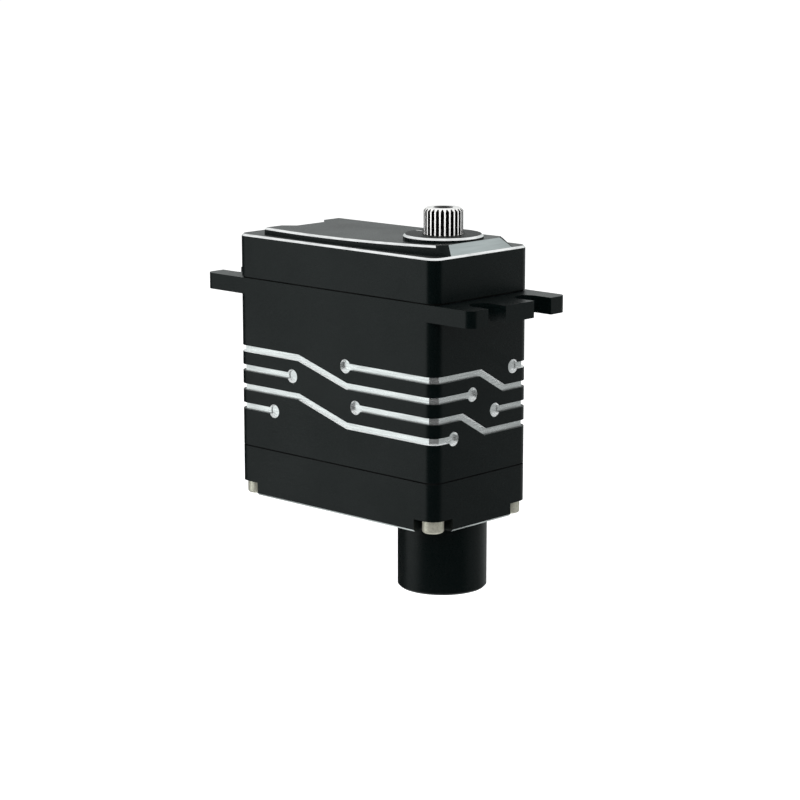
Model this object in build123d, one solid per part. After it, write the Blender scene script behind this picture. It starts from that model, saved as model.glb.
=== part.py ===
from build123d import *
import math
import os

# Waterproof servo, in millimetres.
# The origin is on the output axis at the top face of the round boss, +Z up along the shaft.
# +X points to the end wall beside the output shaft, and Y runs across the case.

# Case outside
CASE_LENGTH = 41.3
CASE_WIDTH = 21.0
CASE_CORNER_RADIUS = 1.9
OUTPUT_FROM_END = 7.95
EDGE_CHAMFER = 0.3
PARTING_GROOVE = 0.2
LEDGE_DROP = 1.98
TOP_CASE_DEPTH = 6.75
MIDDLE_CASE_DEPTH = 26.15
BOTTOM_COVER_DEPTH = 7.75

# Case inside
WALL = 1.5
DECK_RECESS = 2.9
DECK_THICKNESS = 1.6
COVER_FLOOR = 3.0

# Raised deck of the top case, placed from the middle of the case's length
PLATEAU_LEFT = 16.8
PLATEAU_HALF_WIDTH = 8.65
PLATEAU_WIDEST = 4.0
PLATEAU_SIDE_RADIUS = 183.0
PLATEAU_LOW_RISE = 0.92
PLATEAU_LOWEST = 8.0
PLATEAU_TOP_RADIUS = 750.0
PLATEAU_NOTCH_MOUTH = 9.2
PLATEAU_NOTCH_DEPTH = 2.7
RAMP_LENGTH = 1.8
RAMP_TOP_HALF_WIDTH = 5.6
RAMP_FOOT_HALF_WIDTH = 6.9
FACET_TURN = 40.5

# Boss round the output shaft
BOSS_RADIUS = 5.95
INDEX_MARK_LENGTH = 1.3
INDEX_MARK_WIDTH = 0.3
INDEX_MARK_DEPTH = 0.15
INDEX_MARK_FROM_RIM = 0.45

# Mounting lugs
LUG_SPAN = 55.4
LUG_THICKNESS = 2.5
LUG_CORNER_RADIUS = 1.35
LUG_FILLET = 0.7
LUG_HOLE_SPACING_X = 49.5
LUG_HOLE_SPACING_Y = 10.0
LUG_SLOT_WIDTH = 3.8

# Engraved tracks that run round the middle case
TRACK_WIDTH = 1.0
TRACK_DEPTH = 0.4
TRACK_CORNER_FLAT = 1.0
PAD_DIAMETER = 2.1
PAD_DEPTH = 0.55
TRACK_FIRST_DROP = 11.02
TRACK_PITCH = 3.0
# Each run is a list of (place, row): along X on a long side, along Y on an end, from its middle.
# END is the case's corner, and a run that has a pad ends at its last point.
END = "corner"
SIDE_RUNS = [
    [("-" + END, 0), (-7.3, 0), (2.95, 1), (END, 1)],
    [("-" + END, 2), (-7.2, 2), (2.95, 3), (END, 3)],
    [("-" + END, 1), (-8.65, 1)],
    [("-" + END, 3), (-12.67, 3)],
    [(END, 0), (2.67, 0)],
    [(END, 2), (4.76, 2)],
]
END_RUNS = [
    [("-" + END, 0), (-0.5, 0), (4.7, 1), (END, 1)],
    [("-" + END, 2), (-4.5, 2), (0.6, 3), (END, 3)],
    [("-" + END, 1), (-2.3, 1)],
    [("-" + END, 3), (-6.35, 3)],
    [(END, 0), (6.7, 0)],
    [(END, 2), (2.7, 2)],
]

# Case screws
SCREW_INSET = 2.05
SCREW_SHANK_RADIUS = 1.0
SCREW_HEAD_RADIUS = 1.6
SCREW_HEAD_HEIGHT = 2.0
SCREW_HEAD_ROUND = 0.35
SCREW_SOCKET_FLATS = 1.5
SCREW_SOCKET_DEPTH = 1.0
SCREW_PROUD = 0.05
SCREW_TOP_COVER = 2.2
NOTCH_SIDE = 4.05
PILLAR_RADIUS = 2.45

# Gaskets between the case parts
GASKET_WIDTH = 0.65
GASKET_DEPTH = 0.6
GASKET_FROM_CAVITY = 0.3

# Rear boss, with the cable inlet through it
REAR_BOSS_RADIUS = 6.73
REAR_BOSS_LENGTH = 10.72
REAR_BOSS_EDGE = 0.3
SPIGOT_RADIUS = 4.0
SPIGOT_BORE_RADIUS = 2.6
SPIGOT_PROUD = 0.2
SPIGOT_NUT_FLATS = 9.6
SPIGOT_NUT_HEIGHT = 1.6
BOSS_SEAL_INNER = 4.7
BOSS_SEAL_WIDTH = 1.0
BOSS_SEAL_DEPTH = 0.5
CABLE_SEAL_RADIUS = 4.4
CABLE_SEAL_LENGTH = 7.8
CABLE_SEAL_RECESS = 0.3
CABLE_HOLE_RADIUS = 2.1

# Output shaft
SPLINE_TEETH = 25
SPLINE_TIP_RADIUS = 2.93
SPLINE_ROOT_RADIUS = 2.58
SPLINE_LENGTH = 3.9
SPLINE_TIP_SHARE = 0.3
SPLINE_ROOT_SHARE = 0.24
SPLINE_CHAMFER = 0.45
HORN_SCREW_RADIUS = 1.25
HORN_SCREW_DEPTH = 8.0
HORN_SCREW_MOUTH = 0.22
SHAFT_TOP_RADIUS = 3.0
SHAFT_LOW_RADIUS = 2.0
SHAFT_COLLAR_RADIUS = 2.35
SHAFT_TAIL = 1.4

# Bearings, seals and shaft sensor
UPPER_BEARING_RADIUS = 5.0
LOWER_BEARING_RADIUS = 4.0
BEARING_HEIGHT = 3.0
INNER_RACE_WALL = 0.6
SHAFT_SEAL_RADIUS = 4.0
SHAFT_SEAL_HEIGHT = 0.7
SHAFT_MOUTH_DEPTH = 0.4
SHAFT_MOUTH_CLEARANCE = 0.2
CLIP_RADIUS = 2.9
CLIP_THICKNESS = 0.4
CLIP_GROOVE = 0.4
SEAT_WALL = 1.2
SEAT_LIP = 0.7
MAGNET_RADIUS = 1.8
MAGNET_HEIGHT = 1.5
SENSOR_GAP = 0.5
SENSOR_CHIP_SIDE = 3.0
SENSOR_CHIP_HEIGHT = 0.8
SENSOR_BOARD_THICKNESS = 1.0

# Gear train: the coarse pairs are beside the output shaft, the fine pairs beside the motor
OUTPUT_TEETH = 27
THIRD_PINION_TEETH = 11
THIRD_WHEEL_TEETH = 25
SECOND_PINION_TEETH = 10
SECOND_WHEEL_TEETH = 32
FIRST_PINION_TEETH = 11
FIRST_WHEEL_TEETH = 34
MOTOR_PINION_TEETH = 10
COARSE_TO_FINE = 4 / 3
PRESSURE_ANGLE = math.radians(20)
PINION_SHIFT = 0.42
ADDENDUM = 0.9
DEDENDUM = 1.25
BACKLASH = 0.04
LAYER_GAP = 0.25
WHEEL_TO_WALL = 0.37
THIRD_AXLE_SWING = 3.2
SECOND_AXLE_SWING = 1.9
FIRST_AXLE_SWING = 1.9
AXLE_RADIUS = 0.75
AXLE_SEAT_DEPTH = 1.1
GEAR_HUB_WALL = 0.45

# Motor
MOTOR_TO_SIDE_WALL = 0.8
MOTOR_TO_END_WALL = 0.35
MOTOR_END_ROOM = 3.0
MOTOR_SHOULDER = 0.8
MOTOR_NOSE_RADIUS = 2.4
MOTOR_NOSE_HEIGHT = 1.2
MOTOR_SHAFT_RADIUS = 0.75
MOTOR_SHAFT_BURIED = 6.0
MOTOR_CAP_HEIGHT = 1.8
MOTOR_CAP_INSET = 0.6
MOTOR_SCREW_SPACING = 9.0
MOTOR_SCREW_RADIUS = 0.8
MOTOR_SCREW_HEAD_RADIUS = 1.4
MOTOR_SCREW_HEAD_HEIGHT = 0.8
MOTOR_SCREW_LENGTH = 3.0
TERMINAL_SIZE = (0.5, 2.0, 1.2)
TERMINAL_SPACING = 9.0

# Circuit board
BOARD_THICKNESS = 1.0
BOARD_TO_WALL = 0.4
BOARD_STANDOFF = 2.3
POST_RADIUS = 1.4
POST_FROM_SIDE = 1.6
POST_X_SHARES = (0.16, 0.66)
BOARD_SCREW_RADIUS = 0.6
BOARD_SCREW_HEAD_RADIUS = 1.1
BOARD_SCREW_HEAD_HEIGHT = 0.7
BOARD_SCREW_LENGTH = 2.6
CHIP_SIZE = (5.0, 5.0, 0.9)
DRIVER_SIZE = (3.6, 4.6, 1.2)
DRIVER_SPACING = 6.4
RESISTOR_SIZE = (0.8, 1.6, 0.5)
RESISTOR_COUNT = 6
RESISTOR_PITCH = 1.6
CAPACITOR_RADIUS = 2.6
CAPACITOR_HEIGHT = 7.0

# Clearances
RUNNING_CLEARANCE = 0.04
RACE_CLEARANCE = 0.08
SEAL_CLEARANCE = 0.05
SCREW_CLEARANCE = 0.1
THREAD_CLEARANCE = 0.02
NOSE_CLEARANCE = 0.1
END_CLEARANCE = 0.05

# Levels
LEDGE_Z = -LEDGE_DROP
UPPER_PARTING_Z = LEDGE_Z - TOP_CASE_DEPTH
LOWER_PARTING_Z = UPPER_PARTING_Z - MIDDLE_CASE_DEPTH
BOTTOM_Z = LOWER_PARTING_Z - BOTTOM_COVER_DEPTH
DECK_TOP_Z = UPPER_PARTING_Z - DECK_RECESS
DECK_BOTTOM_Z = DECK_TOP_Z - DECK_THICKNESS
FLOOR_TOP_Z = BOTTOM_Z + COVER_FLOOR
SEAL_SEAT_Z = -(SHAFT_SEAL_HEIGHT + SHAFT_MOUTH_DEPTH)
ROOF_Z = SEAL_SEAT_Z - BEARING_HEIGHT
SCREW_SEAT_Z = BOTTOM_Z - SCREW_PROUD + SCREW_HEAD_HEIGHT
SCREW_TOP_Z = LEDGE_Z - SCREW_TOP_COVER
BOARD_BOTTOM_Z = FLOOR_TOP_Z + BOARD_STANDOFF
BOARD_TOP_Z = BOARD_BOTTOM_Z + BOARD_THICKNESS
NUT_TOP_Z = FLOOR_TOP_Z + SPIGOT_NUT_HEIGHT
REAR_BOSS_Z = BOTTOM_Z - REAR_BOSS_LENGTH
MOTOR_END_Z = LOWER_PARTING_Z + MOTOR_END_ROOM
LOWER_BEARING_Z = DECK_TOP_Z - BEARING_HEIGHT
CLIP_TOP_Z = LOWER_BEARING_Z - END_CLEARANCE
SHAFT_END_Z = LOWER_BEARING_Z - SHAFT_TAIL
MAGNET_Z = SHAFT_END_Z - MAGNET_HEIGHT
SENSOR_CHIP_TOP_Z = MAGNET_Z - SENSOR_GAP
SENSOR_BOARD_TOP_Z = SENSOR_CHIP_TOP_Z - SENSOR_CHIP_HEIGHT

# Places in plan
CASE_END_X = OUTPUT_FROM_END
CASE_MIDDLE_X = CASE_END_X - CASE_LENGTH / 2
CASE_LEFT_X = CASE_END_X - CASE_LENGTH
INNER_HALF_WIDTH = CASE_WIDTH / 2 - WALL
MOTOR_RADIUS = INNER_HALF_WIDTH - MOTOR_TO_SIDE_WALL
MOTOR_X = CASE_LEFT_X + WALL + MOTOR_TO_END_WALL + MOTOR_RADIUS
SCREW_PLACES = [
    (x, y)
    for x in (CASE_LEFT_X + SCREW_INSET, CASE_END_X - SCREW_INSET)
    for y in (-CASE_WIDTH / 2 + SCREW_INSET, CASE_WIDTH / 2 - SCREW_INSET)
]
CASE_CORNERS = [(x, y) for x in (CASE_LEFT_X, CASE_END_X) for y in (-CASE_WIDTH / 2, CASE_WIDTH / 2)]


def rod(radius, low, high, at=(0, 0)):
    """An upright cylinder between two levels."""
    return Pos(at[0], at[1], low) * extrude(Circle(radius), high - low)


def ring(outer, inner, low, high, at=(0, 0)):
    """An upright ring between two levels."""
    return Pos(at[0], at[1], low) * extrude(Circle(outer) - Circle(inner), high - low)


def brick(size, low, at=(0, 0)):
    """A box that stands on a level."""
    return Pos(at[0], at[1], low + size[2] / 2) * Box(*size)


def slab(sketch, low, high):
    """A sketch raised from one level to another."""
    return Pos(0, 0, low) * extrude(sketch, high - low)


def turned(profile):
    """A profile of (radius, level) points turned round the output axis."""
    return revolve(make_face(Plane.XZ * Polyline(*profile, close=True)), Axis.Z)


def case_outline(inset=0.0):
    """The case's rounded outline, drawn in by an inset."""
    corner = CASE_CORNER_RADIUS - inset
    outline = RectangleRounded(CASE_LENGTH - 2 * inset, CASE_WIDTH - 2 * inset, corner)
    return Pos(CASE_MIDDLE_X, 0) * outline


def parting_groove(low):
    """The fine groove round the case at a parting line."""
    return slab(case_outline(-PARTING_GROOVE) - case_outline(PARTING_GROOVE), low, low + PARTING_GROOVE)


def track_floor_outline():
    """The outline of the tracks' floor, which is cut straight across each corner."""
    floor = Rectangle(CASE_LENGTH - 2 * TRACK_DEPTH, CASE_WIDTH - 2 * TRACK_DEPTH)
    return Pos(CASE_MIDDLE_X, 0) * chamfer(floor.vertices(), TRACK_CORNER_FLAT)


def cavity_outline(grown=0.0):
    """The hollow inside the walls, which goes round the four screw pillars."""
    inset = WALL - grown
    hollow = Rectangle(CASE_LENGTH - 2 * inset, CASE_WIDTH - 2 * inset)
    hollow = Pos(CASE_MIDDLE_X, 0) * hollow
    for x, y in SCREW_PLACES:
        hollow -= Pos(x, y) * Circle(PILLAR_RADIUS - grown)
    for x, y in CASE_CORNERS:
        hollow -= Pos(x, y) * Rectangle(2 * SCREW_INSET, 2 * SCREW_INSET)
    return hollow


def gasket_outline():
    """The cord of the gasket, which follows the hollow."""
    outer = cavity_outline(GASKET_FROM_CAVITY + GASKET_WIDTH)
    return outer - cavity_outline(GASKET_FROM_CAVITY)


def screw_holes(radius, low, high):
    """One upright hole for each case screw."""
    return [rod(radius, low, high, place) for place in SCREW_PLACES]


# Gear train
def involute(angle):
    """The involute function of a pressure angle."""
    return math.tan(angle) - angle


def polar(radius, angle):
    """A point in the plane of a gear."""
    return (radius * math.cos(angle), radius * math.sin(angle))


def tip_radius(teeth, module, shift):
    """The radius of a gear over its tooth tips."""
    return module * (teeth / 2 + ADDENDUM + shift)


def gear_face(teeth, module, shift, phase):
    """A gear's outline, with the middle of one tooth at the angle phase."""
    pitch = teeth * module / 2
    base = pitch * math.cos(PRESSURE_ANGLE)
    tip = tip_radius(teeth, module, shift)
    root = module * (teeth / 2 + shift - DEDENDUM)
    half = (math.pi / 2 + 2 * shift * math.tan(PRESSURE_ANGLE)) / teeth - BACKLASH / 2 / pitch

    def half_tooth(radius):
        """Half of the tooth's angle at a radius."""
        return half + involute(PRESSURE_ANGLE) - involute(math.acos(min(1, base / radius)))

    foot = max(base, root)
    stations = [foot, (foot + tip) / 2, tip]
    edges = []
    for tooth in range(teeth):
        middle = phase + tooth * math.tau / teeth
        after = middle + math.tau / teeth
        rise = [polar(r, middle - half_tooth(r)) for r in stations]
        fall = [polar(r, middle + half_tooth(r)) for r in reversed(stations)]
        start = polar(root, middle - half_tooth(foot))
        finish = polar(root, middle + half_tooth(foot))
        edges.append(Line(start, rise[0]))
        edges.append(ThreePointArc(*rise))
        edges.append(Line(rise[2], fall[0]))
        edges.append(ThreePointArc(*fall))
        edges.append(Line(fall[2], finish))
        edges.append(Line(finish, polar(root, after - half_tooth(foot))))
    return make_face(edges)


def centre_distance(teeth_a, teeth_b, module):
    """The distance between the axes of two gears in mesh."""
    return module * (teeth_a + teeth_b) / 2


def meshing_phase(teeth, place, mate_teeth, mate_place, mate_phase):
    """The phase that puts a gap of this gear on a tooth of its mate."""
    towards = math.atan2(place[1] - mate_place[1], place[0] - mate_place[0])
    mate_share = (towards - mate_phase) * mate_teeth / math.tau
    return towards + math.pi - (0.5 - mate_share) * math.tau / teeth


def axle_places(fine):
    """The plan places of the three axles and the motor, for one size of fine tooth."""
    coarse = fine * COARSE_TO_FINE
    wheel_reach = tip_radius(THIRD_WHEEL_TEETH, coarse, -PINION_SHIFT)
    third_y = min(THIRD_AXLE_SWING, INNER_HALF_WIDTH - WHEEL_TO_WALL - wheel_reach)
    steps = [
        (centre_distance(OUTPUT_TEETH, THIRD_PINION_TEETH, coarse), third_y),
        (centre_distance(THIRD_WHEEL_TEETH, SECOND_PINION_TEETH, coarse), -SECOND_AXLE_SWING),
        (centre_distance(SECOND_WHEEL_TEETH, FIRST_PINION_TEETH, fine), FIRST_AXLE_SWING),
        (centre_distance(FIRST_WHEEL_TEETH, MOTOR_PINION_TEETH, fine), 0.0),
    ]
    places = [(0.0, 0.0)]
    for distance, y in steps:
        x, last_y = places[-1]
        along = math.sqrt(max(0, distance**2 - (y - last_y) ** 2))
        places.append((x - along, y))
    return places


def fine_module():
    """The tooth size at which the train just reaches from the shaft to the motor."""
    small, large = 0.2, 0.6
    for _ in range(60):
        middle = (small + large) / 2
        if axle_places(middle)[-1][0] > MOTOR_X:
            small = middle
        else:
            large = middle
    return middle


FINE = fine_module()
COARSE = FINE * COARSE_TO_FINE
OUTPUT_PLACE, THIRD_PLACE, SECOND_PLACE, FIRST_PLACE, MOTOR_PLACE = axle_places(FINE)
AXLE_PLACES = [THIRD_PLACE, SECOND_PLACE, FIRST_PLACE]
FACE_WIDTH = (ROOF_Z - DECK_TOP_Z - 5 * LAYER_GAP) / 4
LAYER_TOPS = [ROOF_Z - LAYER_GAP - n * (FACE_WIDTH + LAYER_GAP) for n in range(4)]


def gear_on_layer(teeth, module, shift, phase, place, layer):
    """One toothed disc at its layer, counted down from the roof."""
    top = LAYER_TOPS[layer]
    disc = extrude(gear_face(teeth, module, shift, phase), FACE_WIDTH)
    return Pos(place[0], place[1], top - FACE_WIDTH) * disc


def compound_gear(place, wheel, pinion, mate, mate_place, pinion_layer):
    """A wheel with a pinion on top of it, turning on an axle.
    wheel and pinion are (teeth, module), and mate is the tooth count above."""
    phase = meshing_phase(pinion[0], place, mate, mate_place, 0.0)
    gear = gear_on_layer(*wheel, -PINION_SHIFT, 0.0, place, pinion_layer + 1)
    gear += gear_on_layer(*pinion, PINION_SHIFT, phase, place, pinion_layer)
    hub = AXLE_RADIUS + GEAR_HUB_WALL
    low = DECK_TOP_Z + LAYER_GAP
    gear += rod(hub, low, ROOF_Z - LAYER_GAP, place)
    gear -= rod(AXLE_RADIUS + RUNNING_CLEARANCE, low - 1, ROOF_Z, place)
    return gear


def third_gear():
    """The gear beside the output shaft, turned by the second gear."""
    wheel, pinion = (THIRD_WHEEL_TEETH, COARSE), (THIRD_PINION_TEETH, COARSE)
    return compound_gear(THIRD_PLACE, wheel, pinion, OUTPUT_TEETH, OUTPUT_PLACE, 0)


def second_gear():
    """The middle gear of the train, turned by the first gear."""
    wheel, pinion = (SECOND_WHEEL_TEETH, FINE), (SECOND_PINION_TEETH, COARSE)
    return compound_gear(SECOND_PLACE, wheel, pinion, THIRD_WHEEL_TEETH, THIRD_PLACE, 1)


def first_gear():
    """The gear that the motor's pinion turns."""
    wheel, pinion = (FIRST_WHEEL_TEETH, FINE), (FIRST_PINION_TEETH, FINE)
    return compound_gear(FIRST_PLACE, wheel, pinion, SECOND_WHEEL_TEETH, SECOND_PLACE, 2)


# Case parts
def plateau():
    """The raised deck: curved long sides, a gently rising top and a faceted output end."""
    left = CASE_MIDDLE_X - PLATEAU_LEFT
    right = CASE_END_X
    widest = CASE_MIDDLE_X - PLATEAU_WIDEST
    lowest = CASE_MIDDLE_X - PLATEAU_LOWEST
    base = LEDGE_Z - WALL / 2
    foot = LEDGE_Z - EDGE_CHAMFER

    def half_width(x):
        """Half of the plateau's width at a place along the case."""
        radius = PLATEAU_SIDE_RADIUS
        return PLATEAU_HALF_WIDTH - radius + math.sqrt(radius**2 - (x - widest) ** 2)

    def top(x):
        """The level of the plateau's top."""
        radius = PLATEAU_TOP_RADIUS
        sag = radius - math.sqrt(radius**2 - (x - lowest) ** 2)
        return LEDGE_Z + PLATEAU_LOW_RISE + sag

    mouth = PLATEAU_NOTCH_MOUTH / 2
    throat = mouth - PLATEAU_NOTCH_DEPTH
    middle = (left + right) / 2
    near = [(x, -half_width(x)) for x in (left, middle, right)]
    far = [(x, half_width(x)) for x in (right, middle, left)]
    plan = make_face(
        [
            ThreePointArc(*near),
            Line(near[2], far[0]),
            ThreePointArc(*far),
            Polyline(
                far[2],
                (left, mouth),
                (left + PLATEAU_NOTCH_DEPTH, throat),
                (left + PLATEAU_NOTCH_DEPTH, -throat),
                (left, -mouth),
                near[0],
            ),
        ]
    )
    ramp_x = right - RAMP_LENGTH
    crown = [(x, top(x)) for x in (left, lowest, ramp_x)]
    side = make_face(
        [
            Plane.XZ * ThreePointArc(*crown),
            Plane.XZ * Line(crown[2], (right, foot)),
            Plane.XZ * Polyline((right, foot), (right, base), (left, base), crown[0]),
        ]
    )
    body = slab(plan, base, 0)
    body &= extrude(side, CASE_WIDTH / 2, both=True)
    turn = math.radians(FACET_TURN)
    for hand in (-1, 1):
        run = Vector(
            RAMP_LENGTH,
            hand * (RAMP_FOOT_HALF_WIDTH - RAMP_TOP_HALF_WIDTH),
            foot - top(ramp_x),
        )
        level = Vector(-math.sin(turn), hand * math.cos(turn), 0)
        outward = run.cross(level) * hand
        facet = Plane((ramp_x, hand * RAMP_TOP_HALF_WIDTH, top(ramp_x)), z_dir=outward)
        body = split(body, facet, keep=Keep.BOTTOM)
    long_edges = body.edges().filter_by(lambda edge: edge.length > CASE_LENGTH / 2)
    top_edges = long_edges.filter_by(lambda edge: edge.center().Z > LEDGE_Z)
    return chamfer(top_edges, EDGE_CHAMFER)


def top_case():
    """The upper case part, with the raised deck, the boss and the bearing's seat."""
    case = slab(case_outline(), UPPER_PARTING_Z, LEDGE_Z)
    case = chamfer(case.faces().sort_by(Axis.Z)[-1].edges(), EDGE_CHAMFER)
    case += plateau()
    boss = rod(BOSS_RADIUS, LEDGE_Z - WALL / 2, 0)
    case += chamfer(boss.edges().sort_by(Axis.Z)[-1], EDGE_CHAMFER)
    case -= slab(cavity_outline(), UPPER_PARTING_Z, ROOF_Z)
    case -= rod(UPPER_BEARING_RADIUS, ROOF_Z, SEAL_SEAT_Z)
    case -= rod(SHAFT_SEAL_RADIUS, SEAL_SEAT_Z, -SHAFT_MOUTH_DEPTH)
    case -= rod(SHAFT_TOP_RADIUS + SHAFT_MOUTH_CLEARANCE, -SHAFT_MOUTH_DEPTH, 0)
    screw_radius = SCREW_SHANK_RADIUS + THREAD_CLEARANCE
    case -= screw_holes(screw_radius, UPPER_PARTING_Z, SCREW_TOP_Z + END_CLEARANCE)
    for place in AXLE_PLACES:
        case -= rod(AXLE_RADIUS, ROOF_Z, ROOF_Z + AXLE_SEAT_DEPTH, place)
    mark = (INDEX_MARK_LENGTH, INDEX_MARK_WIDTH, INDEX_MARK_DEPTH)
    mark_x = -(BOSS_RADIUS - INDEX_MARK_FROM_RIM - INDEX_MARK_LENGTH / 2)
    case -= brick(mark, -INDEX_MARK_DEPTH, (mark_x, 0))
    return case - parting_groove(UPPER_PARTING_Z)


def lug_plate():
    """Both mounting lugs as one plate, with open-ended slots round the screw places."""
    plate = RectangleRounded(LUG_SPAN, CASE_WIDTH, LUG_CORNER_RADIUS)
    past_end = LUG_SPAN / 2 + LUG_SLOT_WIDTH
    for hand_x in (-1, 1):
        inner = LUG_HOLE_SPACING_X / 2
        for hand_y in (-1, 1):
            y = hand_y * LUG_HOLE_SPACING_Y / 2
            plate -= Pos(hand_x * inner, y) * Circle(LUG_SLOT_WIDTH / 2)
            mouth = Rectangle(past_end - inner, LUG_SLOT_WIDTH)
            plate -= Pos(hand_x * (inner + past_end) / 2, y) * mouth
    return slab(Pos(CASE_MIDDLE_X, 0) * plate, UPPER_PARTING_Z - LUG_THICKNESS, UPPER_PARTING_Z)


def lug_root(hand):
    """The rounded corner between a lug's underside and the end wall."""
    corner_x = CASE_MIDDLE_X + hand * CASE_LENGTH / 2
    corner_z = UPPER_PARTING_Z - LUG_THICKNESS
    section = Pos(hand * LUG_FILLET / 2, -LUG_FILLET / 2) * Rectangle(LUG_FILLET, LUG_FILLET)
    section -= Pos(hand * LUG_FILLET, -LUG_FILLET) * Circle(LUG_FILLET)
    root = Pos(corner_x, 0, corner_z) * (Plane.XZ * section)
    return extrude(root, CASE_WIDTH / 2 - CASE_CORNER_RADIUS, both=True)


def track_place(place, half):
    """A run's place along its face: a number, or the corner at either end."""
    if isinstance(place, str):
        return -half if place.startswith("-") else half
    return place


def track_tools(runs, face, half):
    """The strokes and pads of one face, as solids that reach in from it."""
    strokes, pads = [], []
    reach = CASE_CORNER_RADIUS + TRACK_DEPTH
    for run in runs:
        points = [
            (track_place(place, half), -(TRACK_FIRST_DROP + row * TRACK_PITCH))
            for place, row in run
        ]
        for start, finish in zip(points, points[1:]):
            length = math.dist(start, finish)
            angle = math.degrees(math.atan2(finish[1] - start[1], finish[0] - start[0]))
            middle = ((start[0] + finish[0]) / 2, (start[1] + finish[1]) / 2)
            bar = Pos(*middle) * Rot(0, 0, angle) * Rectangle(length, TRACK_WIDTH)
            strokes.append(extrude(face * bar, -reach))
        for point in points[1:-1]:
            joint = face * Pos(*point) * Circle(TRACK_WIDTH / 2)
            strokes.append(extrude(joint, -reach))
        if not isinstance(run[-1][0], str):
            pad = face * Pos(*points[-1]) * Circle(PAD_DIAMETER / 2)
            pads.append(extrude(pad, -PAD_DEPTH))
    return strokes, pads


def engraving():
    """All the tracks cut into the four faces of the middle case."""
    strokes, pads = [], []
    for turn in (0, 180):
        about = Pos(CASE_MIDDLE_X, 0, UPPER_PARTING_Z) * Rot(0, 0, turn)
        side = about * Pos(0, -CASE_WIDTH / 2, 0) * Plane.XZ.location
        end = about * Pos(CASE_LENGTH / 2, 0, 0) * Plane.YZ.location
        for runs, face, half in (
            (SIDE_RUNS, side, CASE_LENGTH / 2),
            (END_RUNS, end, CASE_WIDTH / 2),
        ):
            more_strokes, more_pads = track_tools(runs, face, half)
            strokes += more_strokes
            pads += more_pads
    skin = slab(case_outline(-TRACK_WIDTH) - track_floor_outline(), LOWER_PARTING_Z, DECK_TOP_Z)
    cut = Part() + strokes
    return (cut & skin) + pads


def middle_case():
    """The middle case part: walls, lugs, gear deck, lower bearing seat and tracks."""
    case = slab(case_outline(), LOWER_PARTING_Z, UPPER_PARTING_Z) + lug_plate()
    case += [lug_root(-1), lug_root(1)]
    case -= slab(cavity_outline(), DECK_TOP_Z, UPPER_PARTING_Z)
    case -= slab(cavity_outline(), LOWER_PARTING_Z, DECK_BOTTOM_Z)
    case -= slab(gasket_outline(), UPPER_PARTING_Z - GASKET_DEPTH, UPPER_PARTING_Z)
    case -= slab(gasket_outline(), LOWER_PARTING_Z, LOWER_PARTING_Z + GASKET_DEPTH)
    screw_radius = SCREW_SHANK_RADIUS + SCREW_CLEARANCE
    case -= screw_holes(screw_radius, LOWER_PARTING_Z, UPPER_PARTING_Z)
    case += rod(LOWER_BEARING_RADIUS + SEAT_WALL, SENSOR_BOARD_TOP_Z, DECK_TOP_Z)
    case -= rod(LOWER_BEARING_RADIUS, LOWER_BEARING_Z, DECK_TOP_Z)
    case -= rod(LOWER_BEARING_RADIUS - SEAT_LIP, SENSOR_BOARD_TOP_Z, DECK_TOP_Z)
    for place in AXLE_PLACES:
        case -= rod(AXLE_RADIUS, DECK_TOP_Z - AXLE_SEAT_DEPTH, DECK_TOP_Z, place)
    case -= rod(MOTOR_NOSE_RADIUS + NOSE_CLEARANCE, DECK_BOTTOM_Z, DECK_TOP_Z, MOTOR_PLACE)
    head_seat = DECK_TOP_Z - MOTOR_SCREW_HEAD_HEIGHT - END_CLEARANCE
    for place in motor_screw_places():
        hole = MOTOR_SCREW_RADIUS + SCREW_CLEARANCE
        case -= rod(hole, DECK_BOTTOM_Z, DECK_TOP_Z, place)
        case -= rod(MOTOR_SCREW_HEAD_RADIUS + SCREW_CLEARANCE, head_seat, DECK_TOP_Z, place)
    return case - engraving()


def bottom_cover():
    """The lower case part, with a notch at each corner for a screw head."""
    cover = slab(case_outline(), BOTTOM_Z, LOWER_PARTING_Z)
    cover = chamfer(cover.faces().sort_by(Axis.Z)[0].edges(), EDGE_CHAMFER)
    cover -= slab(cavity_outline(), FLOOR_TOP_Z, LOWER_PARTING_Z)
    screw_radius = SCREW_SHANK_RADIUS + SCREW_CLEARANCE
    cover -= screw_holes(screw_radius, BOTTOM_Z, LOWER_PARTING_Z)
    notch = (2 * NOTCH_SIDE, 2 * NOTCH_SIDE, SCREW_SEAT_Z - BOTTOM_Z)
    for x, y in CASE_CORNERS:
        cover -= brick(notch, BOTTOM_Z, (x, y))
    cover -= rod(SPIGOT_RADIUS + THREAD_CLEARANCE, BOTTOM_Z, FLOOR_TOP_Z)
    for place in post_places():
        cover += rod(POST_RADIUS, FLOOR_TOP_Z - END_CLEARANCE, BOARD_BOTTOM_Z, place)
        hole_bottom = BOARD_TOP_Z - BOARD_SCREW_LENGTH - END_CLEARANCE
        hole_radius = BOARD_SCREW_RADIUS + THREAD_CLEARANCE
        cover -= rod(hole_radius, hole_bottom, BOARD_BOTTOM_Z, place)
    return cover - parting_groove(LOWER_PARTING_Z - PARTING_GROOVE)


def rear_boss():
    """The round boss under the output axis: a tube with a threaded spigot."""
    bottom = REAR_BOSS_Z
    tube = rod(REAR_BOSS_RADIUS, bottom, BOTTOM_Z)
    tube = chamfer(tube.edges().sort_by(Axis.Z)[0], REAR_BOSS_EDGE)
    tube += rod(SPIGOT_RADIUS, BOTTOM_Z, NUT_TOP_Z + SPIGOT_PROUD)
    seal_top = bottom + CABLE_SEAL_RECESS + CABLE_SEAL_LENGTH
    tube -= rod(SPIGOT_BORE_RADIUS, bottom, NUT_TOP_Z + SPIGOT_PROUD)
    tube -= rod(CABLE_SEAL_RADIUS, bottom, seal_top)
    return tube - rear_boss_seal()


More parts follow.
